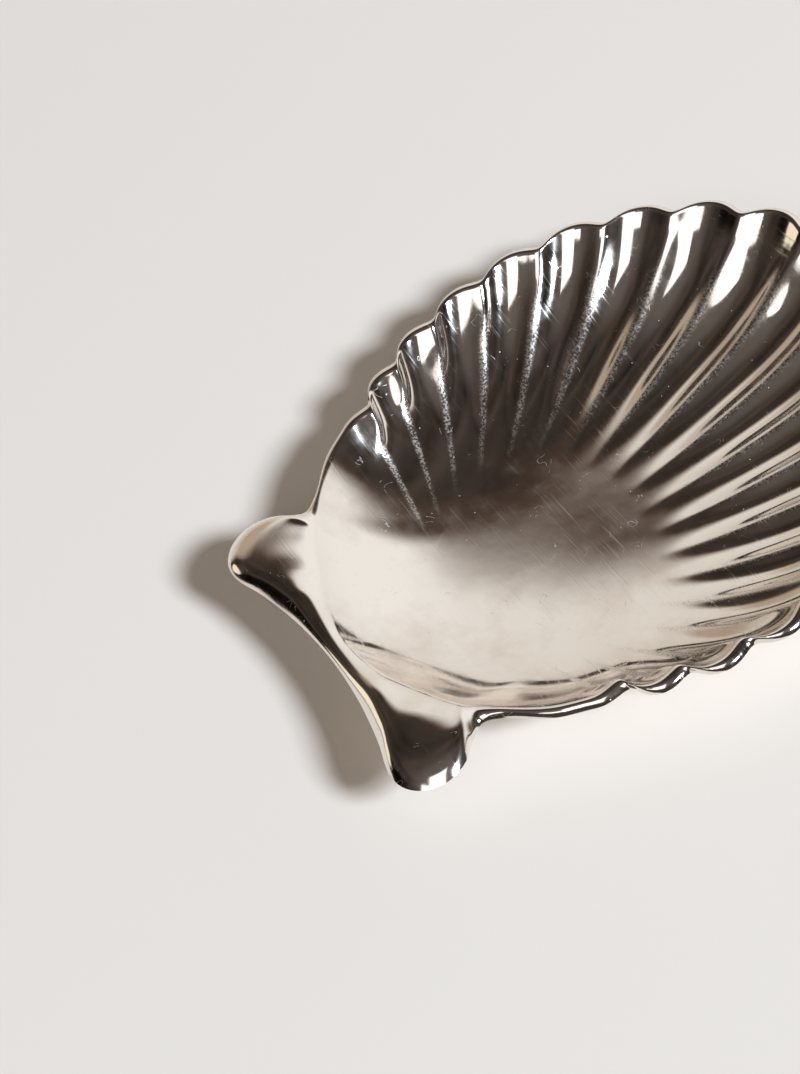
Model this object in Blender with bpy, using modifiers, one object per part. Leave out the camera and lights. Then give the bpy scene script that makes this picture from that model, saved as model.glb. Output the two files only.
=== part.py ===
"""Scallop shell trinket dish, stamped from one sheet of metal and silver plated.

The dish is a shallow fluted bowl with a rolled lip. At its hinge end the lip widens
into two domed ears. The whole form is worked out as one half, +X of the middle, and
mirrored. +Y is the scalloped front, the ears are at -Y, and the flat base rests on z = 0.
"""

import math

import bmesh
import bpy
import numpy as np

MM = 0.001

# Scalloped rim and its ridges
LOBE_RADIUS = 67.6 * MM             # circle that the crowns of the rim's lobes touch
FAN_SETBACK = 48.5 * MM             # the ridges fan out from a point this far behind its centre
RIDGE_COUNT = 19                    # one ridge is on the middle line, so this is odd
RIDGE_STEP = math.radians(8.75)     # from one ridge to the next, about the fan point
RIDGE_HEIGHT = 2.1 * MM             # how far a full ridge stands off the wall of the bowl
RIDGE_START = 42.0 * MM             # from the fan point to where the ridges begin to rise
RIDGE_FULL = 74.0 * MM              # from the fan point to where they stand fully up
RIDGE_SHARPNESS = 2.2               # power that narrows the ridges and widens the channels
RIDGE_ROUND = 0.12                  # roundness of a ridge's crest, in steps
LAST_RIDGE_SPREAD = 1.3             # how much wider the last ridge is behind than before
RIM_SCALLOP = 2.7 * MM              # how far the rim is drawn in at a ridge
RIM_START = 0.82                    # from here out, as a share, the ridges turn level to meet it

# Bowl
BOWL_DEPTH = 16.2 * MM              # from the rim's edge down to the floor
BOWL_MIDDLE = -4.5 * MM             # the bowl's middle, along Y from the circle's centre
BASE_SHARE = 0.20                   # flat base, as a share of the way from the middle to the lip
FLOOR_SAG = 0.45                    # share of the depth that the dished floor takes
FLOOR_REACH = 30.0 * MM             # from the bowl's middle to where its front wall starts
REAR_FLOOR_SHARE = 0.42             # the same at the hinge end, as a share of the way to the lip
WALL_CURVE = 3.0                    # power of the front wall's rise to the lip
REAR_WALL_CURVE = 4.0               # the same at the hinge end
SHEET = 0.8 * MM                    # thickness of the metal

# Rolled lip, and the domed ears that it widens into
LIP_WIDTH = 2.6 * MM
LIP_TUCK_IN = 1.1 * MM              # pull of the wall's slope into the lip
LIP_TUCK_OUT = 1.8 * MM             # pull of the turned-down edge into the lip
LIP_DROP = math.radians(62)         # how steeply the lip ends, below level
LIP_FALL = 0.7 * MM                 # how far its edge lies below its inner line
EAR_WIDTH = 12.0 * MM               # width at which the lip has become an ear
EAR_TUCK_IN = 3.0 * MM
EAR_TUCK_OUT = 6.8 * MM
EAR_DROP = math.radians(46)
EAR_FALL = 0.7 * MM

# Smooth side, waist, ears and hinge edge, all from the circle's centre
SIDE_POINTS = ((52.6 * MM, -43.9 * MM), (48.4 * MM, -51.2 * MM))
SIDE_FACING = (0.85, -0.53)         # way that the smooth side faces, to set its lip's width off
WAIST = (38.6 * MM, -62.6 * MM)     # narrowest point, between the side and the ear
WAIST_RADIUS = 4.2 * MM
WAIST_TURN = math.radians(58)       # half of the arc that the waist takes
WAIST_LIP_SHARE = 0.25              # width of the lip at the waist, as a share of the rest
EAR_CENTRE = (36.3 * MM, -74.9 * MM)
EAR_RADIUS = 9.0 * MM
EAR_ARC = (math.radians(30), math.radians(-100))
HINGE_EDGE = -78.5 * MM             # middle of the hinge edge
HINGE_PLACES = (0.75, 0.4, 0.0)     # where it is set out, as shares of the way to the ear
HINGE_ROLL = 4.5 * MM               # width of the lip there
MOUTH_CORNER_GAP = 3.1 * MM         # between the bowl's rear corner and the ear's circle
MOUTH_CORNER_TURN = math.radians(126)

# Fineness of the faces
STEPS_PER_LOBE = 5
STEPS_BEHIND_LAST_RIDGE = 3
STEPS_TO_WAIST = 6
STEPS_ROUND_EAR = 13
STEPS_ALONG_HINGE = 8
POINTS_ROUND_WAIST = 3
POINTS_ROUND_EAR = 5
BOWL_STATIONS = (0.0, 0.16, 0.225, 0.275, 0.32, 0.37, 0.43, 0.52, 0.61, 0.70, 0.78, 0.85, 0.905, 0.955, 1.0)
LIP_STATIONS = (0.2, 0.45, 0.7, 1.0)
POINTS_PER_CURVE = 40
BEARINGS = 1500

SILVER = (0.80, 0.77, 0.73, 1.0)
POLISH = 0.08
CREASE = math.radians(40)           # faces that meet more sharply than this show an edge
FAN_WELD = 0.001 * MM               # the rows' first points, all at the fan point, become one
MIRROR_WELD = 0.01 * MM             # reach of the two halves' join on the middle line

LAST_RIDGE = RIDGE_STEP * (RIDGE_COUNT - 1) / 2


def clear_scene():
    for item in list(bpy.data.objects):
        bpy.data.objects.remove(item, do_unlink=True)


def smooth_curve(points):
    """Centripetal Catmull-Rom curve through points that end on the middle line."""
    points = np.array(points, float)
    before = 2 * points[0] - points[1]
    after = points[-2] * (-1, 1)
    points = np.vstack([before, points, after])
    pieces = []
    for index in range(1, len(points) - 2):
        a, b, c, d = points[index - 1:index + 3]
        ta = 0.0
        tb = ta + np.linalg.norm(b - a) ** 0.5
        tc = tb + np.linalg.norm(c - b) ** 0.5
        td = tc + np.linalg.norm(d - c) ** 0.5
        t = np.linspace(tb, tc, POINTS_PER_CURVE, endpoint=False)[:, None]
        ab = ((tb - t) * a + (t - ta) * b) / (tb - ta)
        bc = ((tc - t) * b + (t - tb) * c) / (tc - tb)
        cd = ((td - t) * c + (t - tc) * d) / (td - tc)
        abc = ((tc - t) * ab + (t - ta) * bc) / (tc - ta)
        bcd = ((td - t) * bc + (t - tb) * cd) / (td - tb)
        pieces.append(((tc - t) * abc + (t - tb) * bcd) / (tc - tb))
    pieces.append(points[-2][None])
    return np.vstack(pieces)


def arc_points(centre, radius, start, end, count):
    turns = np.linspace(start, end, count)
    return [(centre[0] + radius * math.cos(turn), centre[1] + radius * math.sin(turn)) for turn in turns]


def fan_point(angle, reach):
    """Plan point at a distance from the fan point, with the angle taken from +Y."""
    return np.stack([reach * np.sin(angle), reach * np.cos(angle) - FAN_SETBACK], axis=-1)


def circle_reach(angle, radius):
    """Distance from the fan point out to a circle about the rim's centre."""
    across = FAN_SETBACK * np.cos(angle)
    return across + np.sqrt(across ** 2 - FAN_SETBACK ** 2 + radius ** 2)


def reach_of(radius, rear_points):
    """Fan angle to reach, along the circle and then along a curve through the rear points."""
    start = fan_point(LAST_RIDGE, circle_reach(LAST_RIDGE, radius))
    curve = smooth_curve([tuple(start)] + list(rear_points))
    angles = np.arctan2(curve[:, 0], curve[:, 1] + FAN_SETBACK)
    angles[-1] = math.pi
    reaches = np.hypot(curve[:, 0], curve[:, 1] + FAN_SETBACK)
    order = np.argsort(angles)

    def reach(angle):
        front = circle_reach(np.minimum(angle, LAST_RIDGE), radius)
        rear = np.interp(angle, angles[order], reaches[order])
        return np.where(angle <= LAST_RIDGE, front, rear)

    return reach


def ear_points():
    return arc_points(EAR_CENTRE, EAR_RADIUS, EAR_ARC[0], EAR_ARC[1], POINTS_ROUND_EAR)


def outline_points():
    """Rear half of the sheet's outline: side, waist, ear and hinge edge."""
    waist_centre = (WAIST[0] + WAIST_RADIUS, WAIST[1])
    waist_arc = (math.pi - WAIST_TURN, math.pi + WAIST_TURN)
    waist = arc_points(waist_centre, WAIST_RADIUS, waist_arc[0], waist_arc[1], POINTS_ROUND_WAIST)
    ear = ear_points()
    shoulder_x, shoulder_y = ear[-1]
    hollow = HINGE_EDGE - shoulder_y
    hinge = [(shoulder_x * share, HINGE_EDGE - hollow * share ** 2) for share in HINGE_PLACES]
    return list(SIDE_POINTS) + waist + ear + hinge


def mouth_points():
    """Rear half of the line where the bowl's wall turns over into the lip and the ears."""
    side = [(x - LIP_WIDTH * SIDE_FACING[0], y - LIP_WIDTH * SIDE_FACING[1]) for x, y in SIDE_POINTS]
    waist = (WAIST[0] - LIP_WIDTH * WAIST_LIP_SHARE, WAIST[1] + WAIST_RADIUS)
    corner_reach = EAR_RADIUS + MOUTH_CORNER_GAP
    corner = arc_points(EAR_CENTRE, corner_reach, MOUTH_CORNER_TURN, MOUTH_CORNER_TURN, 1)
    return side + [waist] + corner + [(0.0, HINGE_EDGE + HINGE_ROLL)]


def ease(start, end, value):
    share = np.clip((value - start) / (end - start), 0, 1)
    return share * share * (3 - 2 * share)


def pinch(angle):
    """1 on a ridge's crest, 0 in the middle of a channel and on the smooth rear of the bowl."""
    lobes = angle / RIDGE_STEP
    beside = np.abs(lobes - np.round(lobes))
    beyond = np.minimum((lobes - (RIDGE_COUNT - 1) / 2) / LAST_RIDGE_SPREAD, 0.5)
    beside = np.where(angle > LAST_RIDGE, beyond, beside)
    rounded = np.sqrt(beside ** 2 + RIDGE_ROUND ** 2) - RIDGE_ROUND
    whole = math.sqrt(0.5 ** 2 + RIDGE_ROUND ** 2) - RIDGE_ROUND
    return (1 - rounded / whole) ** RIDGE_SHARPNESS


class Bowl:
    """Floor and wall of the bowl, as a depth under the rim for each plan point."""

    def __init__(self, mouth_reach):
        turn = np.linspace(0, math.pi, BEARINGS)
        plan = fan_point(turn, mouth_reach(turn))
        self.bearings = np.arctan2(plan[:, 0], plan[:, 1] - BOWL_MIDDLE)
        self.reaches = np.hypot(plan[:, 0], plan[:, 1] - BOWL_MIDDLE)
        self.front_share = FLOOR_REACH / self.reaches[0]

    def shares(self, plan):
        """Shares of the way over the dished floor and up the wall, the distance that each takes
        in plan, and the power of the wall there."""
        bearing = np.arctan2(plan[:, 0], plan[:, 1] - BOWL_MIDDLE)
        reach = np.interp(bearing, self.bearings, self.reaches)
        share = np.hypot(plan[:, 0], plan[:, 1] - BOWL_MIDDLE) / reach
        rearward = (1 - np.cos(bearing)) / 2
        floor = self.front_share + (REAR_FLOOR_SHARE - self.front_share) * rearward
        power = WALL_CURVE + (REAR_WALL_CURVE - WALL_CURVE) * rearward
        sag = np.clip((share - BASE_SHARE) / (1 - BASE_SHARE), 0, None)
        rise = np.clip((share - floor) / (1 - floor), 0, None)
        return sag, (1 - BASE_SHARE) * reach, rise, (1 - floor) * reach, power

    def height(self, plan):
        sag, _, rise, _, power = self.shares(plan)
        return BOWL_DEPTH * (FLOOR_SAG * sag ** 2 + (1 - FLOOR_SAG) * rise ** power - 1)

    def slope(self, plan):
        sag, sag_run, rise, rise_run, power = self.shares(plan)
        of_floor = FLOOR_SAG * 2 * sag / sag_run
        of_wall = (1 - FLOOR_SAG) * power * rise ** (power - 1) / rise_run
        return np.arctan(BOWL_DEPTH * (of_floor + of_wall))


def around_angles():
    """Fan angles of the half dish, from the front middle line to the hinge middle line."""
    lobes = (RIDGE_COUNT - 1) // 2
    front = np.linspace(0, LAST_RIDGE, lobes * STEPS_PER_LOBE + 1)
    waist = math.atan2(WAIST[0], WAIST[1] + FAN_SETBACK)
    shoulder_x, shoulder_y = ear_points()[-1]
    shoulder = math.atan2(shoulder_x, shoulder_y + FAN_SETBACK)
    last_channel = LAST_RIDGE + RIDGE_STEP * LAST_RIDGE_SPREAD / 2
    behind = np.linspace(LAST_RIDGE, last_channel, STEPS_BEHIND_LAST_RIDGE + 1)[1:]
    side = np.linspace(last_channel, waist, STEPS_TO_WAIST + 1)[1:]
    ear = np.linspace(waist, shoulder, STEPS_ROUND_EAR + 1)[1:]
    hinge = np.linspace(shoulder, math.pi, STEPS_ALONG_HINGE + 1)[1:]
    return np.concatenate([front, behind, side, ear, hinge])


def bowl_rows(angles, bowl, mouth_reach, outward):
    """Floor, wall and ridges, one row of points for each station out from the fan point."""
    rows = []
    for station in BOWL_STATIONS:
        reach = station * mouth_reach(angles)
        plan = fan_point(angles, reach)
        levelled = ease(RIM_START, 1.0, station)
        off_wall = RIDGE_HEIGHT * station * ease(RIDGE_START, RIDGE_FULL, reach)
        push = pinch(angles) * (off_wall + (RIM_SCALLOP - off_wall) * levelled)
        slope = bowl.slope(plan)
        lean = slope + (math.pi / 2 - slope) * levelled
        pushed = plan - outward * (push * np.sin(lean))[:, None]
        rows.append(np.column_stack([pushed, bowl.height(plan) + push * np.cos(lean)]))
    return rows


def lip_rows(start, edge, climb):
    """Rolled lip or ear, a curve that leaves the wall at its slope and ends turned down."""
    across = edge - start[:, :2]
    width = np.linalg.norm(across, axis=1)
    across = across / width[:, None]
    eared = ease(LIP_WIDTH, EAR_WIDTH, width)
    near = LIP_TUCK_IN + (EAR_TUCK_IN - LIP_TUCK_IN) * eared
    far = LIP_TUCK_OUT + (EAR_TUCK_OUT - LIP_TUCK_OUT) * eared
    drop = LIP_DROP + (EAR_DROP - LIP_DROP) * eared
    fall = LIP_FALL + (EAR_FALL - LIP_FALL) * eared
    rows = []
    for t in LIP_STATIONS:
        early = 3 * t * (1 - t) ** 2
        late = 3 * t * t * (1 - t)
        along = early * near * np.cos(climb) + late * (width - far * np.cos(drop)) + t ** 3 * width
        up = early * near * np.sin(climb) + late * (far * np.sin(drop) - fall) - t ** 3 * fall
        rows.append(np.column_stack([start[:, :2] + across * along[:, None], start[:, 2] + up]))
    return rows


def shell_points(angles):
    """Upper surface of the half dish, from the fan point out to the edge of the sheet."""
    mouth_reach = reach_of(LOBE_RADIUS - LIP_WIDTH, mouth_points())
    outline_reach = reach_of(LOBE_RADIUS, outline_points())
    bowl = Bowl(mouth_reach)
    mouth = fan_point(angles, mouth_reach(angles))
    outward = mouth / np.linalg.norm(mouth, axis=1)[:, None]
    rows = bowl_rows(angles, bowl, mouth_reach, outward)
    edge = fan_point(angles, outline_reach(angles)) - outward * (RIM_SCALLOP * pinch(angles))[:, None]
    return np.stack(rows + lip_rows(rows[-1], edge, bowl.slope(mouth)))


def build_shell_mesh():
    angles = around_angles()
    rows = shell_points(angles)
    rows[:, 0, 0] = 0.0
    rows[:, -1, 0] = 0.0
    rows[:, :, 1] -= (rows[:, :, 1].min() + rows[:, :, 1].max()) / 2
    rows[:, :, 2] += BOWL_DEPTH + SHEET
    mesh = bpy.data.meshes.new("shell_dish")
    sheet = bmesh.new()
    columns = len(angles) - 1
    stations = len(rows) - 1
    bmesh.ops.create_grid(sheet, x_segments=columns, y_segments=stations, size=0.5)
    for vertex in sheet.verts:
        column = round((vertex.co.x + 0.5) * columns)
        station = round((vertex.co.y + 0.5) * stations)
        vertex.co = rows[station, column]
    bmesh.ops.remove_doubles(sheet, verts=sheet.verts, dist=FAN_WELD)
    bmesh.ops.recalc_face_normals(sheet, faces=sheet.faces)
    if sum(face.normal.z * face.calc_area() for face in sheet.faces) < 0:
        bmesh.ops.reverse_faces(sheet, faces=sheet.faces)
    sheet.to_mesh(mesh)
    sheet.free()
    return mesh


def silver_material():
    material = bpy.data.materials.new("polished silver plate")
    material.use_nodes = True
    shader = material.node_tree.nodes["Principled BSDF"]
    shader.inputs["Base Color"].default_value = SILVER
    shader.inputs["Metallic"].default_value = 1.0
    shader.inputs["Roughness"].default_value = POLISH
    return material


def build_dish():
    collection = bpy.data.collections.new("shell trinket dish")
    bpy.context.scene.collection.children.link(collection)
    dish = bpy.data.objects.new("shell_dish", build_shell_mesh())
    collection.objects.link(dish)
    dish.data.materials.append(silver_material())

    mirror = dish.modifiers.new("Mirror", "MIRROR")
    mirror.use_axis = (True, False, False)
    mirror.use_clip = True
    mirror.merge_threshold = MIRROR_WELD

    sheet = dish.modifiers.new("Sheet", "SOLIDIFY")
    sheet.thickness = SHEET
    sheet.offset = -1.0
    sheet.use_even_offset = True

    dish.data.shade_smooth()
    dish.data.set_sharp_from_angle(angle=CREASE)
    return dish


clear_scene()
build_dish()
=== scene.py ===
"""Shell trinket dish: one fluted sheet of mirror-polished silver plate, on a pale studio floor.

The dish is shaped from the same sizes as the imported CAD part, with finer faces, and stands for it.
"""

import math

import bpy
import numpy as np
from bpy.props import FloatProperty, FloatVectorProperty, IntProperty, PointerProperty
from mathutils import Matrix, Vector


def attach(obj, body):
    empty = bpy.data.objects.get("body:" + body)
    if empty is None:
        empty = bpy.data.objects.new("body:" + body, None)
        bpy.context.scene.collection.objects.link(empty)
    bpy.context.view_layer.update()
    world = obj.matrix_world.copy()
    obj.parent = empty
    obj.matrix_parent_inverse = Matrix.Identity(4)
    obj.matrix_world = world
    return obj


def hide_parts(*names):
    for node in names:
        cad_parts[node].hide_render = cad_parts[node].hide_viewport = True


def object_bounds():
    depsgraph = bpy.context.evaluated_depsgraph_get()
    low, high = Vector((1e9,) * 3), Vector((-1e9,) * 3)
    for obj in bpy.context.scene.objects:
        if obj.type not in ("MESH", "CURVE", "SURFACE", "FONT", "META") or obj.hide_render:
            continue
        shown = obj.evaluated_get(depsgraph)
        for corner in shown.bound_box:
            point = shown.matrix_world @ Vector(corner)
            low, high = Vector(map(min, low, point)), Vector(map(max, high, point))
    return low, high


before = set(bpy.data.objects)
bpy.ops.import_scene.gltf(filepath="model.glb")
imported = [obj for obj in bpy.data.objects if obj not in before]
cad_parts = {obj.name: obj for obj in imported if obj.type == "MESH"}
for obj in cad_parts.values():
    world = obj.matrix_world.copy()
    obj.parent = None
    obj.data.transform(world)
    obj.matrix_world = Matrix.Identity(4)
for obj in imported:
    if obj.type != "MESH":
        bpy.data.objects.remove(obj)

bl_info = {
    "name": "Shell Trinket Dish",
    "version": (1, 0, 0),
    "blender": (4, 5, 0),
    "location": "View3D > Sidebar > Shell Dish",
    "description": "Builds a scallop shell dish of silver plate and the studio that it stands in",
    "category": "Add Mesh",
}

CAD_BOX = [list(corner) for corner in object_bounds()]
MM = 0.001

# Ridges
RIDGE_START = 42.0 * MM      # from the fan point to where the ridges begin to rise
RIDGE_FULL = 74.0 * MM       # from the fan point to where they stand fully up
RIDGE_SHARPNESS = 2.2        # power that narrows the ridges and widens the channels
LAST_RIDGE_SPREAD = 1.3      # how much wider the last ridge is behind than before
RIM_START = 0.82             # from here out, as a share, the ridges turn level to meet the rim

# Bowl
BOWL_MIDDLE = -4.5 * MM      # along Y from the middle of the lobes' circle
BASE_SHARE = 0.20            # flat base, as a share of the way from the middle to the lip
FLOOR_SAG = 0.45             # share of the depth that the dished floor takes
REAR_FLOOR_SHARE = 0.42      # where the wall starts at the hinge end, as a share of the same way

# Lip, and the ears that it widens into
LIP_TUCK_IN = 1.1 * MM       # pull of the wall's slope into the lip
LIP_TUCK_OUT = 1.8 * MM      # pull of the turned-down edge into the lip
LIP_FALL = 0.7 * MM          # how far its edge lies below its inner line
EAR_WIDTH = 12.0 * MM        # width at which the lip has become an ear
EAR_TUCK_IN = 3.0 * MM
EAR_TUCK_OUT = 6.8 * MM
EAR_DROP = math.radians(46)
EAR_FALL = 0.7 * MM
# Slight swells and hollows of the hand-finished ears: X, Y, reach and height
EAR_SWELLS = (
    (27.1 * MM, -71.2 * MM, 4.0 * MM, 0.50 * MM),
    (36.1 * MM, -65.3 * MM, 2.2 * MM, -0.34 * MM),
    (31.7 * MM, -64.9 * MM, 2.2 * MM, 0.17 * MM),
)

# Outline behind the last ridge, from the middle of the lobes' circle, with arcs in degrees
SIDE_POINTS = ((52.6 * MM, -43.9 * MM), (48.4 * MM, -51.2 * MM))
SIDE_FACING = (0.85, -0.53)  # way that the smooth side faces, to set its lip's width off
WAIST = (38.6 * MM, -62.6 * MM)
WAIST_RADIUS = 4.2 * MM
WAIST_ARC = (122, 238)
WAIST_LIP_SHARE = 0.25       # width of the lip at the waist, as a share of the rest
EAR_CENTRE = (36.3 * MM, -74.9 * MM)
EAR_RADIUS = 9.0 * MM
EAR_ARC = (30, -100)
HINGE_EDGE = -78.5 * MM
HINGE_PLACES = (0.75, 0.4, 0.0)  # where the hinge edge is set out, as shares of the way to the ear
HINGE_ROLL = 4.5 * MM        # width of the lip there
MOUTH_CORNER_GAP = 3.1 * MM  # between the bowl's rear corner and the ear's circle
MOUTH_CORNER_TURN = 126

# Steps of the mesh round the half dish, and its rows from the fan point to the mouth and
# from there over the lip
STEPS_PER_HALF_LOBE = 10
STEPS_BEHIND_LAST_RIDGE = 9
STEPS_TO_WAIST = 22
STEPS_ROUND_EAR = 46
STEPS_ALONG_HINGE = 28
CREST_CROWDING = 1.35        # power that draws the steps together at a ridge's crest
POINTS_ROUND_WAIST = 3
POINTS_ROUND_EAR = 5
POINTS_PER_CURVE = 60
BEARINGS = 3000
BOWL_STATIONS = np.concatenate([np.linspace(0, 0.36, 8), np.linspace(0.36, 1, 58)[1:]])
LIP_STATIONS = np.linspace(0, 1, 15)[1:]
FAN_WELD = 0.001 * MM        # the rows' first points, all at the fan point, become one
MIRROR_WELD = 0.01 * MM      # reach of the two halves' join on the middle line
CREASE = math.radians(40)    # faces that meet more sharply than this show an edge

# Rubbed crests: how far up a ridge and between which rows they start and end
WORN_PINCH = (0.68, 0.96)
WORN_INNER = (0.4, 0.62)
WORN_OUTER = (0.86, 0.97)

# Patterns of the plate, in repeats per metre
TARNISH_CLOUDS = 65.0        # 15 mm
RUBBED_PATCHES = 38.0        # 26 mm
DUST_CELLS = 520.0           # 1.9 mm
LINT_CURLS = 330.0           # 3 mm
LINT_PATCHES = 210.0         # 5 mm
HAZE = 240.0                 # 4 mm
CREST_GRAIN = 2000.0         # 0.5 mm
SHEET_RIPPLE = 160.0         # 6 mm
# Scratches: turn of each direction in radians, and its repeats across; along, one in 26 mm
SCRATCHES = ((0.35, 1500.0), (1.25, 1900.0), (1.9, 1700.0), (2.7, 1300.0))
SCRATCH_ALONG = 38.0
SCRATCH_UP = 60.0

# What each kind of wear adds to the plate's roughness
HAZE_ROUGHNESS = 0.09
SCRATCH_ROUGHNESS = 0.18
DUST_ROUGHNESS = 0.5
CREST_ROUGHNESS = 0.3

# The room, painted by direction as the dish sees it, and the tone that fills the floor
ROOM_DARK = "#0E0B09"
ROOM_DIM = "#4E453F"
FLOOR_FILL = "#615549"
# The broad pale wall: azimuth, elevation, half width and soft edge, in degrees
WALL = (135.0, -21.0, 71.8, 5.0)
WALL_SHADED = "#D0C8BC"
WALL_LIT = "#F8F8F6"
WALL_BRIGHTEST = (105.0, 35.0)  # direction of its brightest part
# Half shade round the wall, in degrees beyond it
SHADE = "#5C473A"
SHADE_WIDTH = 4.0
# Smaller round patches, seen as reflections: the wall's four values, then colour and strength
ROOM_PATCHES = (
    (-35.0, 60.0, 30.0, 14.0, "#625C58", 1.0),
    (-120.0, 18.0, 14.0, 6.0, "#0C0A08", 1.0),
    (-174.0, 22.0, 11.0, 5.0, "#B5A593", 1.0),
    (-140.0, 10.0, 8.5, 1.2, "#F6ECD4", 1.1),
)

# Lamps: name, azimuth and elevation in degrees, distance, width and height in metres, power
# in watts and colour
LAMPS = (
    ("window", -30, 51, 6.6, 3.3, 4.2, 58.0, "#FFFFFF"),
    ("window_left", -58, 43, 6.6, 2.4, 1.6, 16.0, "#FFFFFF"),
    ("key_lamp", 25, 34, 8.0, 1.54, 1.54, 990.0, "#E7F2FF"),
)

FLOOR_RADIUS = 2.0
FLOOR_SIDES = 96
CAMERA_AIM = (-15.45 * MM, -42.08 * MM, 16.63 * MM)
SENSOR_WIDTH = 36.0          # in millimetres, as Blender takes it


def linear(hex_colour):
    """Linear colour from an sRGB hex value, which is how every colour here is written."""
    values = [int(hex_colour[place:place + 2], 16) / 255 for place in (1, 3, 5)]
    return tuple(v / 12.92 if v <= 0.04045 else ((v + 0.055) / 1.055) ** 2.4 for v in values)


def with_alpha(colour):
    return (*colour, 1.0)


class DishSizes(bpy.types.PropertyGroup):
    """Sizes of the fluted sheet, the same as in the CAD part."""

    lobe_radius: FloatProperty(
        name="Lobe radius", description="Circle that the crowns of the rim's lobes touch",
        default=67.6 * MM, unit="LENGTH")
    fan_setback: FloatProperty(
        name="Fan setback", default=48.5 * MM, unit="LENGTH",
        description="From the circle's centre back to the point the ridges fan out from")
    ridge_count: IntProperty(
        name="Ridges", default=19,
        description="Number of ridges, odd because one is on the middle line")
    ridge_step: FloatProperty(
        name="Ridge step", description="From one ridge to the next about the fan point",
        default=math.radians(8.75), subtype="ANGLE")
    ridge_height: FloatProperty(
        name="Ridge height", description="How far a ridge stands off the wall of the bowl",
        default=2.1 * MM, unit="LENGTH")
    rim_scallop: FloatProperty(
        name="Rim scallop", description="How far the rim is drawn in at a ridge",
        default=2.7 * MM, unit="LENGTH")
    ridge_round: FloatProperty(
        name="Ridge rounding", description="Roundness of a ridge's crest, in steps",
        default=0.12)
    bowl_depth: FloatProperty(
        name="Bowl depth", description="From the rim's edge down to the floor",
        default=16.2 * MM, unit="LENGTH")
    floor_reach: FloatProperty(
        name="Floor reach", description="From the bowl's middle to where its front wall starts",
        default=30.0 * MM, unit="LENGTH")
    wall_curve: FloatProperty(
        name="Wall curve", description="Power of the front wall's rise to the lip", default=3.0)
    rear_wall_curve: FloatProperty(
        name="Rear wall curve", description="The same at the hinge end", default=4.0)
    sheet: FloatProperty(
        name="Sheet", description="Thickness of the metal", default=0.8 * MM, unit="LENGTH")
    lip_width: FloatProperty(
        name="Lip width", description="Width of the rolled lip in plan",
        default=2.6 * MM, unit="LENGTH")
    lip_drop: FloatProperty(
        name="Lip drop", description="How steeply the lip ends, below level",
        default=math.radians(62), subtype="ANGLE")


class PlateFinish(bpy.types.PropertyGroup):
    """Colours and polish of the silver plate."""

    silver: FloatVectorProperty(
        name="Silver", description="Clean polished plate", size=3, subtype="COLOR",
        default=linear("#F3ECE5"))
    tarnish: FloatVectorProperty(
        name="Tarnish", description="Faint brown film, in cloudy patches", size=3,
        subtype="COLOR", default=linear("#CDB9A6"))
    polish: FloatProperty(
        name="Polish", description="Roughness where the plate is cleanest", default=0.055,
        min=0.0, max=1.0, subtype="FACTOR")


class StudioSetup(bpy.types.PropertyGroup):
    """Floor and camera of the studio."""

    floor_colour: FloatVectorProperty(
        name="Floor", description="Pale board that the dish stands on", size=3, subtype="COLOR",
        default=linear("#EAE2D8"))
    camera_azimuth: FloatProperty(
        name="Camera azimuth", description="Seen from above, from +X towards +Y",
        default=math.radians(-7.316), subtype="ANGLE")
    camera_elevation: FloatProperty(
        name="Camera elevation", description="Above level",
        default=math.radians(47.223), subtype="ANGLE")
    camera_roll: FloatProperty(
        name="Camera roll", description="Turn about the line of sight",
        default=math.radians(-31.173), subtype="ANGLE")
    camera_distance: FloatProperty(
        name="Camera distance", description="From the camera to what it aims at",
        default=582.0 * MM, unit="LENGTH")
    lens: FloatProperty(
        name="Lens", description="Focal length", default=121.5, unit="CAMERA")


def ease(start, end, value):
    """0 up to start and 1 from end on, with a smooth step between them."""
    share = np.clip((value - start) / (end - start), 0, 1)
    return share * share * (3 - 2 * share)


def smooth_curve(points):
    """Centripetal Catmull-Rom curve through points that end on the middle line."""
    points = np.array(points, float)
    points = np.vstack([2 * points[0] - points[1], points, points[-2] * (-1, 1)])
    pieces = []
    for index in range(1, len(points) - 2):
        a, b, c, d = points[index - 1:index + 3]
        ta = 0.0
        tb = ta + np.linalg.norm(b - a) ** 0.5
        tc = tb + np.linalg.norm(c - b) ** 0.5
        td = tc + np.linalg.norm(d - c) ** 0.5
        t = np.linspace(tb, tc, POINTS_PER_CURVE, endpoint=False)[:, None]
        ab = ((tb - t) * a + (t - ta) * b) / (tb - ta)
        bc = ((tc - t) * b + (t - tb) * c) / (tc - tb)
        cd = ((td - t) * c + (t - tc) * d) / (td - tc)
        abc = ((tc - t) * ab + (t - ta) * bc) / (tc - ta)
        bcd = ((td - t) * bc + (t - tb) * cd) / (td - tb)
        pieces.append(((tc - t) * abc + (t - tb) * bcd) / (tc - tb))
    pieces.append(points[-2][None])
    return np.vstack(pieces)


def arc_points(centre, radius, start, end, count):
    """Points along an arc in plan, between two turns in degrees."""
    turns = np.radians(np.linspace(start, end, count))
    return [(centre[0] + radius * math.cos(turn), centre[1] + radius * math.sin(turn))
            for turn in turns]


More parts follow.
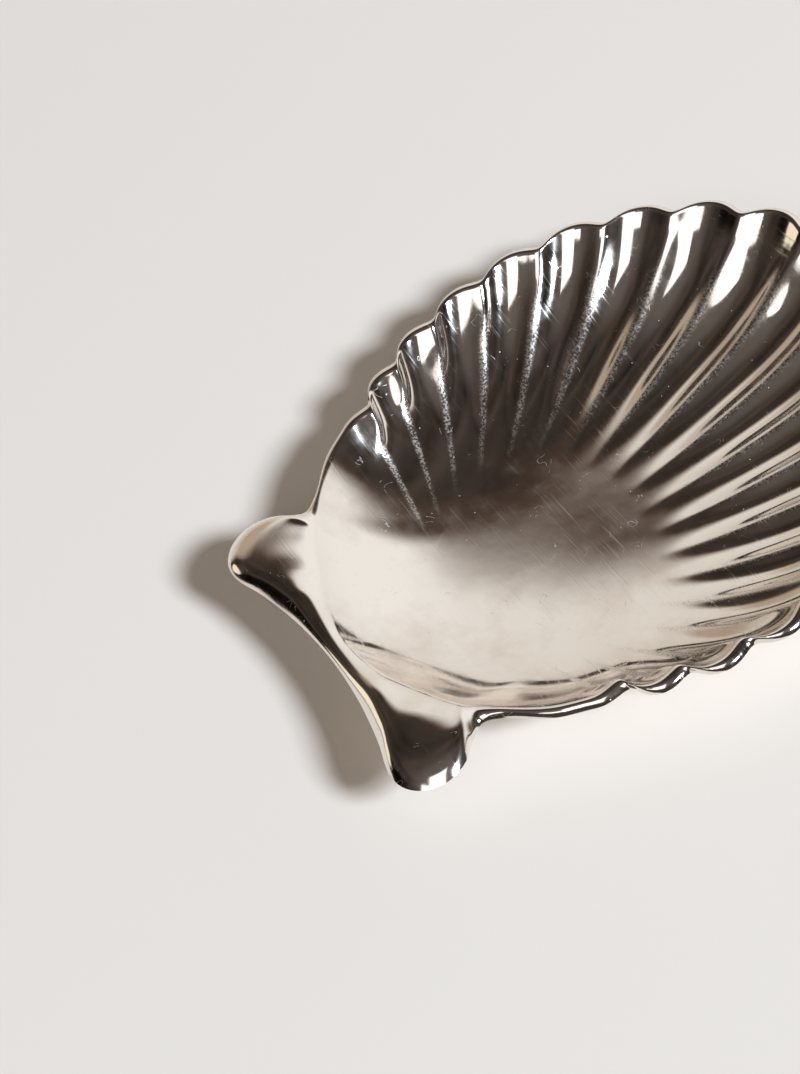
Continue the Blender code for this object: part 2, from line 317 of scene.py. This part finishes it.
class ShellForm:
    """The dish's upper surface, worked out as its half on the +X side."""

    def __init__(self, sizes):
        self.sizes = sizes
        self.last_ridge = sizes.ridge_step * (sizes.ridge_count - 1) / 2
        self.mouth_reach = self.reach_of(sizes.lobe_radius - sizes.lip_width, self.mouth_points())
        self.outline_reach = self.reach_of(sizes.lobe_radius, self.outline_points())
        turn = np.linspace(0, math.pi, BEARINGS)
        plan = self.fan_point(turn, self.mouth_reach(turn))
        self.bearings = np.arctan2(plan[:, 0], plan[:, 1] - BOWL_MIDDLE)
        self.reaches = np.hypot(plan[:, 0], plan[:, 1] - BOWL_MIDDLE)
        self.floor_share = sizes.floor_reach / self.reaches[0]

    def fan_point(self, angle, reach):
        """Plan point at an angle and a distance from the point that the ridges fan out from."""
        return np.stack(
            [reach * np.sin(angle), reach * np.cos(angle) - self.sizes.fan_setback], axis=-1)

    def circle_reach(self, angle, radius):
        """From the fan point to a circle about the lobes' middle."""
        across = self.sizes.fan_setback * np.cos(angle)
        return across + np.sqrt(across ** 2 - self.sizes.fan_setback ** 2 + radius ** 2)

    def reach_of(self, radius, rear_points):
        """Fan angle to reach, along the circle and then along a curve through the rear points."""
        start = self.fan_point(self.last_ridge, self.circle_reach(self.last_ridge, radius))
        curve = smooth_curve([tuple(start)] + list(rear_points))
        angles = np.arctan2(curve[:, 0], curve[:, 1] + self.sizes.fan_setback)
        angles[-1] = math.pi
        reaches = np.hypot(curve[:, 0], curve[:, 1] + self.sizes.fan_setback)
        order = np.argsort(angles)

        def reach(angle):
            front = self.circle_reach(np.minimum(angle, self.last_ridge), radius)
            rear = np.interp(angle, angles[order], reaches[order])
            return np.where(angle <= self.last_ridge, front, rear)

        return reach

    def outline_points(self):
        """The dish's edge behind the last ridge."""
        waist_centre = (WAIST[0] + WAIST_RADIUS, WAIST[1])
        waist = arc_points(waist_centre, WAIST_RADIUS, *WAIST_ARC, POINTS_ROUND_WAIST)
        ear = arc_points(EAR_CENTRE, EAR_RADIUS, *EAR_ARC, POINTS_ROUND_EAR)
        shoulder_x, shoulder_y = ear[-1]
        hollow = HINGE_EDGE - shoulder_y
        hinge = [(shoulder_x * place, HINGE_EDGE - hollow * place ** 2) for place in HINGE_PLACES]
        return list(SIDE_POINTS) + waist + ear + hinge

    def mouth_points(self):
        """The lip's inner line behind the last ridge."""
        lip = self.sizes.lip_width
        side = [(x - lip * SIDE_FACING[0], y - lip * SIDE_FACING[1]) for x, y in SIDE_POINTS]
        waist = (WAIST[0] - lip * WAIST_LIP_SHARE, WAIST[1] + WAIST_RADIUS)
        corner = arc_points(
            EAR_CENTRE, EAR_RADIUS + MOUTH_CORNER_GAP, MOUTH_CORNER_TURN, MOUTH_CORNER_TURN, 1)
        return side + [waist] + corner + [(0.0, HINGE_EDGE + HINGE_ROLL)]

    def pinch(self, angle):
        """1 on a ridge's crest, 0 in the middle of a channel and on the smooth rear."""
        lobes = angle / self.sizes.ridge_step
        beside = np.abs(lobes - np.round(lobes))
        beyond = (lobes - (self.sizes.ridge_count - 1) / 2) / LAST_RIDGE_SPREAD
        beside = np.where(angle > self.last_ridge, np.minimum(beyond, 0.5), beside)
        crest = self.sizes.ridge_round
        rounded = np.sqrt(beside ** 2 + crest ** 2) - crest
        whole = math.sqrt(0.5 ** 2 + crest ** 2) - crest
        return (1 - rounded / whole) ** RIDGE_SHARPNESS

    def rise(self, plan):
        """How far up the wall and out over the dished floor a plan point is, each as a share
        with its run, and the power of the wall's rise there."""
        sizes = self.sizes
        bearing = np.arctan2(plan[:, 0], plan[:, 1] - BOWL_MIDDLE)
        reach = np.interp(bearing, self.bearings, self.reaches)
        share = np.hypot(plan[:, 0], plan[:, 1] - BOWL_MIDDLE) / reach
        rearward = (1 - np.cos(bearing)) / 2
        floor = self.floor_share + (REAR_FLOOR_SHARE - self.floor_share) * rearward
        power = sizes.wall_curve + (sizes.rear_wall_curve - sizes.wall_curve) * rearward
        rise = np.clip((share - floor) / (1 - floor), 0, None)
        sag = np.clip((share - BASE_SHARE) / (1 - BASE_SHARE), 0, None)
        return rise, (1 - floor) * reach, sag, (1 - BASE_SHARE) * reach, power

    def height(self, plan):
        """Height of the bowl without its ridges, below the rim."""
        rise, _, sag, _, power = self.rise(plan)
        climbed = FLOOR_SAG * sag ** 2 + (1 - FLOOR_SAG) * rise ** power
        return self.sizes.bowl_depth * (climbed - 1)

    def slope(self, plan):
        """Angle at which the bowl climbs outwards, in radians."""
        rise, run, sag, sag_run, power = self.rise(plan)
        wall = (1 - FLOOR_SAG) * power * rise ** (power - 1) / run
        return np.arctan(self.sizes.bowl_depth * (FLOOR_SAG * 2 * sag / sag_run + wall))

    def ridge_push(self, angles, station):
        """How far the ridges stand off the wall at one station, and how far they have turned
        from square on the wall to level, as they are at the rim."""
        reach = station * self.mouth_reach(angles)
        turned = ease(RIM_START, 1.0, station)
        wall = self.sizes.ridge_height * station * ease(RIDGE_START, RIDGE_FULL, reach)
        return self.pinch(angles) * (wall + (self.sizes.rim_scallop - wall) * turned), turned

    def bowl_row(self, angles, outward, station):
        """Points of the bowl at one share of the way from the fan point to the mouth."""
        plan = self.fan_point(angles, station * self.mouth_reach(angles))
        push, turned = self.ridge_push(angles, station)
        lean = self.slope(plan)
        lean = lean + (math.pi / 2 - lean) * turned
        pushed = plan - outward * (push * np.sin(lean))[:, None]
        return np.column_stack([pushed, self.height(plan) + push * np.cos(lean)])

    def lip_rows(self, start, edge, climb):
        """Points over the lip and the ears, on a curve that leaves the mouth at the wall's own
        slope and ends turned down at the edge."""
        sizes = self.sizes
        across = edge - start[:, :2]
        width = np.linalg.norm(across, axis=1)
        across = across / width[:, None]
        eared = ease(sizes.lip_width, EAR_WIDTH, width)
        near = LIP_TUCK_IN + (EAR_TUCK_IN - LIP_TUCK_IN) * eared
        far = LIP_TUCK_OUT + (EAR_TUCK_OUT - LIP_TUCK_OUT) * eared
        drop = sizes.lip_drop + (EAR_DROP - sizes.lip_drop) * eared
        fall = LIP_FALL + (EAR_FALL - LIP_FALL) * eared
        rows = []
        for t in LIP_STATIONS:
            early, late, last = 3 * t * (1 - t) ** 2, 3 * t * t * (1 - t), t ** 3
            out = early * near * np.cos(climb) + late * (width - far * np.cos(drop)) + last * width
            up = early * near * np.sin(climb) + late * (far * np.sin(drop) - fall) - last * fall
            rows.append(np.column_stack([start[:, :2] + across * out[:, None], start[:, 2] + up]))
        return rows

    def rows(self, angles):
        """Points of the half dish, row by row from the fan point out to the edge."""
        mouth = self.fan_point(angles, self.mouth_reach(angles))
        outward = mouth / np.linalg.norm(mouth, axis=1)[:, None]
        bowl = [self.bowl_row(angles, outward, station) for station in BOWL_STATIONS]
        notch = outward * (self.sizes.rim_scallop * self.pinch(angles))[:, None]
        edge = self.fan_point(angles, self.outline_reach(angles)) - notch
        rows = np.stack(bowl + self.lip_rows(bowl[-1], edge, self.slope(mouth)))
        for x, y, reach, swell in EAR_SWELLS:
            away = np.hypot(rows[:, :, 0] - x, rows[:, :, 1] - y) / reach
            rows[:, :, 2] += swell * np.exp(-away ** 2 / 2)
        return rows

    def crest_wear(self, angles):
        """1 on crests that cloths have rubbed, 0 in the channels, on the floor and on the lip,
        row by row."""
        crest = np.interp(self.pinch(angles), WORN_PINCH, (0, 1))
        bowl = [crest * ease(*WORN_INNER, station) * (1 - ease(*WORN_OUTER, station))
                for station in BOWL_STATIONS]
        return np.vstack(bowl + [np.zeros_like(crest)] * len(LIP_STATIONS))

    def angles(self):
        """Fan angles of the half dish, closest together at the crests of the ridges."""
        half = 0.5 * np.linspace(0, 1, STEPS_PER_HALF_LOBE + 1) ** CREST_CROWDING
        lobe = np.concatenate([half[:-1], 1 - half[::-1]])[:-1]
        lobes = (self.sizes.ridge_count - 1) // 2
        front = np.concatenate([lobe + index for index in range(lobes)]) * self.sizes.ridge_step
        last_channel = self.last_ridge + self.sizes.ridge_step / 2
        waist = math.atan2(WAIST[0], WAIST[1] + self.sizes.fan_setback)
        shoulder_x, shoulder_y = self.outline_points()[-1 - len(HINGE_PLACES)]
        shoulder = math.atan2(shoulder_x, shoulder_y + self.sizes.fan_setback)
        return np.concatenate([
            front,
            np.linspace(self.last_ridge, last_channel, STEPS_BEHIND_LAST_RIDGE, endpoint=False),
            np.linspace(last_channel, waist, STEPS_TO_WAIST, endpoint=False),
            np.linspace(waist, shoulder, STEPS_ROUND_EAR, endpoint=False),
            np.linspace(shoulder, math.pi, STEPS_ALONG_HINGE + 1)])


def add_node(tree, kind, inputs=None, **settings):
    """Adds a node, sets its properties, and sets or links its inputs by name or number."""
    node = tree.nodes.new(kind)
    for name, value in settings.items():
        setattr(node, name, value)
    for key, value in (inputs or {}).items():
        if isinstance(value, bpy.types.NodeSocket):
            tree.links.new(value, node.inputs[key])
        else:
            node.inputs[key].default_value = value
    return node


def hairline_scratches(tree, place):
    """Scratches of cloths, drawn about 0.15 mm wide so that they show, and closer together in
    the patches that are rubbed most."""
    scratch = None
    for turn, across in SCRATCHES:
        turned = add_node(tree, "ShaderNodeMapping", {
            "Vector": place, "Rotation": (0.0, 0.0, turn),
            "Scale": (SCRATCH_ALONG, across, SCRATCH_UP)})
        lines = add_node(tree, "ShaderNodeTexNoise", {
            "Vector": turned.outputs[0], "Scale": 1.0, "Detail": 2.0, "Roughness": 0.5})
        sharp = add_node(tree, "ShaderNodeMapRange", {
            "Value": lines.outputs[0], "From Min": 0.64, "From Max": 0.78}).outputs[0]
        scratch = sharp if scratch is None else add_node(
            tree, "ShaderNodeMath", {0: scratch, 1: sharp}, operation="MAXIMUM").outputs[0]
    rubbed = add_node(tree, "ShaderNodeTexNoise", {
        "Vector": place, "Scale": RUBBED_PATCHES, "Detail": 3.0})
    worn = add_node(tree, "ShaderNodeMapRange", {
        "Value": rubbed.outputs[0], "From Min": 0.4, "From Max": 0.65,
        "To Min": 0.1, "To Max": 1.0})
    return add_node(tree, "ShaderNodeMath", {0: scratch, 1: worn.outputs[0]},
                    operation="MULTIPLY").outputs[0]


def dust_and_lint(tree, place):
    """Specks of dust 0.2 to 0.3 mm across, in one in seven of their cells, and curled fibres
    2 to 4 mm long and 0.1 mm wide, which are the thin level lines of a soft noise."""
    cells = add_node(tree, "ShaderNodeTexVoronoi", {"Vector": place, "Scale": DUST_CELLS})
    speck = add_node(tree, "ShaderNodeMapRange", {
        "Value": cells.outputs["Distance"], "From Min": 0.05, "From Max": 0.09,
        "To Min": 1.0, "To Max": 0.0})
    pick = add_node(tree, "ShaderNodeSeparateColor", {0: cells.outputs["Color"]})
    chosen = add_node(tree, "ShaderNodeMath", {0: pick.outputs[0], 1: 0.86},
                      operation="GREATER_THAN")
    dust = add_node(tree, "ShaderNodeMath", {0: speck.outputs[0], 1: chosen.outputs[0]},
                    operation="MULTIPLY")

    curl = add_node(tree, "ShaderNodeTexNoise", {
        "Vector": place, "Scale": LINT_CURLS, "Detail": 1.0})
    beside = add_node(tree, "ShaderNodeMath", {0: curl.outputs[0], 1: 0.5, 2: 0.005},
                      operation="COMPARE")
    patchy = add_node(tree, "ShaderNodeTexNoise", {
        "Vector": place, "Scale": LINT_PATCHES, "Detail": 2.0})
    here = add_node(tree, "ShaderNodeMath", {0: patchy.outputs[0], 1: 0.63},
                    operation="GREATER_THAN")
    lint = add_node(tree, "ShaderNodeMath", {0: beside.outputs[0], 1: here.outputs[0]},
                    operation="MULTIPLY")
    lint = add_node(tree, "ShaderNodeMath", {0: lint.outputs[0], 1: 0.6}, operation="MULTIPLY")
    return add_node(tree, "ShaderNodeMath", {0: dust.outputs[0], 1: lint.outputs[0]},
                    operation="MAXIMUM").outputs[0]


def rubbed_crests(tree, place):
    """The ridges' crests, rubbed to a grain that spreads the window's light. The mesh says
    where they are."""
    crest = add_node(tree, "ShaderNodeAttribute", attribute_name="crest")
    grain = add_node(tree, "ShaderNodeTexNoise", {
        "Vector": place, "Scale": CREST_GRAIN, "Detail": 2.0})
    grain = add_node(tree, "ShaderNodeMapRange", {
        "Value": grain.outputs[0], "From Min": 0.4, "From Max": 0.6,
        "To Min": 0.3, "To Max": 1.0})
    return add_node(tree, "ShaderNodeMath", {0: grain.outputs[0], 1: crest.outputs["Fac"]},
                    operation="MULTIPLY").outputs[0]


def silver_plate(finish):
    """Polished silver plate on stamped brass: a mirror, warm in its second reflections, with
    hairline scratches from cloths, specks of dust and a faint brown film."""
    material = bpy.data.materials.new("silver_plate_polished")
    material.use_nodes = True
    tree = material.node_tree
    shader = tree.nodes["Principled BSDF"]
    place = add_node(tree, "ShaderNodeTexCoord").outputs["Object"]

    # Tarnish dulls the silver in clouds
    cloud = add_node(tree, "ShaderNodeTexNoise", {
        "Vector": place, "Scale": TARNISH_CLOUDS, "Detail": 5.0, "Roughness": 0.62})
    film = add_node(tree, "ShaderNodeMapRange", {
        "Value": cloud.outputs[0], "From Min": 0.5, "From Max": 0.8,
        "To Min": 0.0, "To Max": 0.45})
    colour = add_node(tree, "ShaderNodeMix", {
        "Factor": film.outputs[0], "A": with_alpha(finish.silver),
        "B": with_alpha(finish.tarnish)}, data_type="RGBA")
    tree.links.new(colour.outputs["Result"], shader.inputs["Base Color"])
    shader.inputs["Metallic"].default_value = 1.0

    # The polish is uneven, and each kind of wear makes it rougher
    haze = add_node(tree, "ShaderNodeTexNoise", {"Vector": place, "Scale": HAZE, "Detail": 6.0})
    rough = add_node(tree, "ShaderNodeMapRange", {
        "Value": haze.outputs[0], "From Min": 0.35, "From Max": 0.75,
        "To Min": finish.polish, "To Max": finish.polish + HAZE_ROUGHNESS}).outputs[0]
    scratch = hairline_scratches(tree, place)
    for wear, added in ((scratch, SCRATCH_ROUGHNESS),
                        (dust_and_lint(tree, place), DUST_ROUGHNESS),
                        (rubbed_crests(tree, place), CREST_ROUGHNESS)):
        rough = add_node(tree, "ShaderNodeMath", {0: wear, 1: added, 2: rough},
                         operation="MULTIPLY_ADD").outputs[0]
    tree.links.new(rough, shader.inputs["Roughness"])

    # The rolled sheet keeps a faint ripple, and the scratches catch the light
    ripple = add_node(tree, "ShaderNodeTexNoise", {
        "Vector": place, "Scale": SHEET_RIPPLE, "Detail": 2.0})
    relief = add_node(tree, "ShaderNodeBump", {
        "Height": ripple.outputs[0], "Strength": 0.25, "Distance": 0.05 * MM})
    relief = add_node(tree, "ShaderNodeBump", {
        "Height": scratch, "Strength": 0.35, "Distance": 0.012 * MM,
        "Normal": relief.outputs[0]}, invert=True)
    tree.links.new(relief.outputs[0], shader.inputs["Normal"])
    return material


def floor_board(colour):
    """Matt painted board: an even pale surface that only takes a soft shadow."""
    material = bpy.data.materials.new("painted_board_matt")
    material.use_nodes = True
    shader = material.node_tree.nodes["Principled BSDF"]
    shader.inputs["Base Color"].default_value = with_alpha(colour)
    shader.inputs["Roughness"].default_value = 0.8
    shader.inputs["Specular IOR Level"].default_value = 0.2
    return material


def direction(azimuth, elevation):
    """Unit vector from the dish, from degrees: azimuth from +X towards +Y, and above level."""
    azimuth, elevation = math.radians(azimuth), math.radians(elevation)
    level = math.cos(elevation)
    return Vector((level * math.cos(azimuth), level * math.sin(azimuth), math.sin(elevation)))


def room_patch(tree, look, azimuth, elevation, width, soft):
    """1 inside a round patch of the room and 0 outside it."""
    near = add_node(tree, "ShaderNodeVectorMath", {0: look, 1: direction(azimuth, elevation)},
                    operation="DOT_PRODUCT")
    return add_node(tree, "ShaderNodeMapRange", {
        "Value": near.outputs["Value"], "From Min": math.cos(math.radians(width + soft)),
        "From Max": math.cos(math.radians(width - soft))},
        interpolation_type="SMOOTHSTEP").outputs[0]


def paint_room():
    """A dim brown room with one broad pale wall opposite the camera, painted by direction."""
    world = bpy.data.worlds.new("studio_room")
    bpy.context.scene.world = world
    world.use_nodes = True
    tree = world.node_tree
    tree.nodes.clear()
    look = add_node(tree, "ShaderNodeTexCoord").outputs["Generated"]
    blotch = add_node(tree, "ShaderNodeTexNoise", {"Vector": look, "Scale": 2.2, "Detail": 3.0})
    tone = add_node(tree, "ShaderNodeMapRange", {
        "Value": blotch.outputs[0], "From Min": 0.3, "From Max": 0.7})
    colour = add_node(tree, "ShaderNodeMix", {
        "Factor": tone.outputs[0], "A": with_alpha(linear(ROOM_DARK)),
        "B": with_alpha(linear(ROOM_DIM))}, data_type="RGBA").outputs["Result"]

    toward = add_node(tree, "ShaderNodeVectorMath", {0: look, 1: direction(*WALL_BRIGHTEST)},
                      operation="DOT_PRODUCT")
    lit = add_node(tree, "ShaderNodeMapRange", {
        "Value": toward.outputs["Value"], "From Min": 0.4, "From Max": 0.95})
    wall_colour = add_node(tree, "ShaderNodeMix", {
        "Factor": lit.outputs[0], "A": with_alpha(linear(WALL_SHADED)),
        "B": with_alpha(linear(WALL_LIT))}, data_type="RGBA").outputs["Result"]

    # The wall fades through brown, as plaster does in half shade, and the patches lie over both
    azimuth, elevation, width, soft = WALL
    patches = [
        (azimuth, elevation, width + SHADE_WIDTH, soft, with_alpha(linear(SHADE))),
        (azimuth, elevation, width, soft, wall_colour)]
    for *patch, hex_colour, strength in ROOM_PATCHES:
        patches.append((*patch, with_alpha(value * strength for value in linear(hex_colour))))
    for *patch, painted in patches:
        colour = add_node(tree, "ShaderNodeMix", {
            "Factor": room_patch(tree, look, *patch), "A": colour, "B": painted},
            data_type="RGBA").outputs["Result"]

    # The floor is filled by the room's own dim warm tone
    path = add_node(tree, "ShaderNodeLightPath")
    colour = add_node(tree, "ShaderNodeMix", {
        "Factor": path.outputs["Is Diffuse Ray"], "A": colour,
        "B": with_alpha(linear(FLOOR_FILL))}, data_type="RGBA").outputs["Result"]
    background = add_node(tree, "ShaderNodeBackground", {"Color": colour})
    add_node(tree, "ShaderNodeOutputWorld", {"Surface": background.outputs[0]})


def add_lamp(name, azimuth, elevation, distance, width, height, power, hex_colour):
    """Area lamp that faces the dish from a direction, its width level. It is a disc where the
    width and the height are the same."""
    away = direction(azimuth, elevation)
    bpy.ops.object.light_add(type="AREA", location=away * distance)
    lamp = bpy.context.object
    lamp.name = name
    lamp.rotation_euler = away.to_track_quat("Z", "Y").to_euler()
    lamp.data.shape = "DISK" if width == height else "RECTANGLE"
    lamp.data.size = width
    lamp.data.size_y = height
    lamp.data.energy = power
    lamp.data.color = linear(hex_colour)


def add_camera(setup):
    """Camera at the photograph's viewing angle, rolled about its line of sight."""
    away = direction(math.degrees(setup.camera_azimuth), math.degrees(setup.camera_elevation))
    right = Vector((-math.sin(setup.camera_azimuth), math.cos(setup.camera_azimuth), 0.0))
    up = away.cross(right)
    turn, lean = math.cos(setup.camera_roll), math.sin(setup.camera_roll)
    image_right = right * turn + up * lean
    image_up = up * turn - right * lean
    place = Vector(CAMERA_AIM) + away * setup.camera_distance
    bpy.ops.object.camera_add(location=(0, 0, 0))
    camera = bpy.context.object
    camera.matrix_world = Matrix.Translation(place) @ Matrix(
        (image_right, image_up, away)).transposed().to_4x4()
    camera.data.sensor_fit = "HORIZONTAL"
    camera.data.sensor_width = SENSOR_WIDTH
    camera.data.lens = setup.lens
    bpy.context.scene.camera = camera


class DISH_OT_add_dish(bpy.types.Operator):
    """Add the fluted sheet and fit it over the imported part"""

    bl_idname = "dish.add_dish"
    bl_label = "Shell dish"

    def execute(self, context):
        sizes = context.scene.dish_sizes
        form = ShellForm(sizes)
        angles = form.angles()
        rows = form.rows(angles)
        worn = form.crest_wear(angles)
        # The first and last columns lie on the middle line, where the mirror joins the halves
        rows[:, (0, -1), 0] = 0.0
        middle = (CAD_BOX[0][1] + CAD_BOX[1][1]) / 2
        rows[:, :, 1] += middle - (rows[:, :, 1].min() + rows[:, :, 1].max()) / 2
        rows[:, :, 2] += sizes.bowl_depth + sizes.sheet

        # A flat grid is bent to the rows
        bpy.ops.object.select_all(action="DESELECT")
        stations, columns = (count - 1 for count in rows.shape[:2])
        bpy.ops.mesh.primitive_grid_add(
            x_subdivisions=columns, y_subdivisions=stations, size=1.0)
        dish = context.object
        dish.name = "fluted_dish"
        dish.data.name = "fluted_dish"
        crest = dish.data.attributes.new("crest", "FLOAT", "POINT")
        for vertex in dish.data.vertices:
            column = round((vertex.co.x + 0.5) * columns)
            station = round((vertex.co.y + 0.5) * stations)
            vertex.co = rows[station, column]
            crest.data[vertex.index].value = worn[station, column]

        bpy.ops.object.mode_set(mode="EDIT")
        bpy.ops.mesh.select_all(action="SELECT")
        bpy.ops.mesh.remove_doubles(threshold=FAN_WELD)
        bpy.ops.mesh.normals_make_consistent(inside=False)
        bpy.ops.object.mode_set(mode="OBJECT")
        if sum(face.normal.z * face.area for face in dish.data.polygons) < 0:
            dish.data.flip_normals()

        mirror = dish.modifiers.new("Mirror", "MIRROR")
        mirror.use_clip = True
        mirror.merge_threshold = MIRROR_WELD
        sheet = dish.modifiers.new("Sheet", "SOLIDIFY")
        sheet.thickness = sizes.sheet
        sheet.offset = -1.0
        sheet.use_even_offset = True
        bpy.ops.object.modifier_apply(modifier="Mirror")
        bpy.ops.object.modifier_apply(modifier="Sheet")
        bpy.ops.object.shade_smooth_by_angle(angle=CREASE)
        dish.data.materials.append(silver_plate(context.scene.plate_finish))
        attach(dish, "root")
        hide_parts("shell_dish")
        return {"FINISHED"}


class DISH_OT_add_studio(bpy.types.Operator):
    """Add the floor, the room, the lamps and the camera"""

    bl_idname = "dish.add_studio"
    bl_label = "Studio"

    def execute(self, context):
        setup = context.scene.studio_setup
        bpy.ops.object.select_all(action="DESELECT")
        bpy.ops.mesh.primitive_circle_add(
            vertices=FLOOR_SIDES, radius=FLOOR_RADIUS, fill_type="NGON", location=(0, 0, 0))
        floor = context.object
        floor.name = "floor"
        floor.data.materials.append(floor_board(setup.floor_colour))

        paint_room()
        for lamp in LAMPS:
            add_lamp(*lamp)
        add_camera(setup)
        context.scene.view_settings.view_transform = "Standard"
        return {"FINISHED"}


class DISH_PT_panel(bpy.types.Panel):
    """Sizes, finish and studio of the dish, with a button for each operator"""

    bl_label = "Shell Dish"
    bl_space_type = "VIEW_3D"
    bl_region_type = "UI"
    bl_category = "Shell Dish"

    def draw(self, context):
        layout = self.layout
        scene = context.scene
        for group in (scene.dish_sizes, scene.plate_finish, scene.studio_setup):
            box = layout.box()
            for name in group.__annotations__:
                box.prop(group, name)
        layout.operator("dish.add_dish")
        layout.operator("dish.add_studio")


CLASSES = (
    DishSizes, PlateFinish, StudioSetup, DISH_OT_add_dish, DISH_OT_add_studio, DISH_PT_panel)


def register():
    for each in CLASSES:
        bpy.utils.register_class(each)
    bpy.types.Scene.dish_sizes = PointerProperty(type=DishSizes)
    bpy.types.Scene.plate_finish = PointerProperty(type=PlateFinish)
    bpy.types.Scene.studio_setup = PointerProperty(type=StudioSetup)


def unregister():
    del bpy.types.Scene.studio_setup
    del bpy.types.Scene.plate_finish
    del bpy.types.Scene.dish_sizes
    for each in reversed(CLASSES):
        bpy.utils.unregister_class(each)


def main():
    register()
    bpy.ops.dish.add_dish()
    bpy.ops.dish.add_studio()


if __name__ == "__main__":
    main()
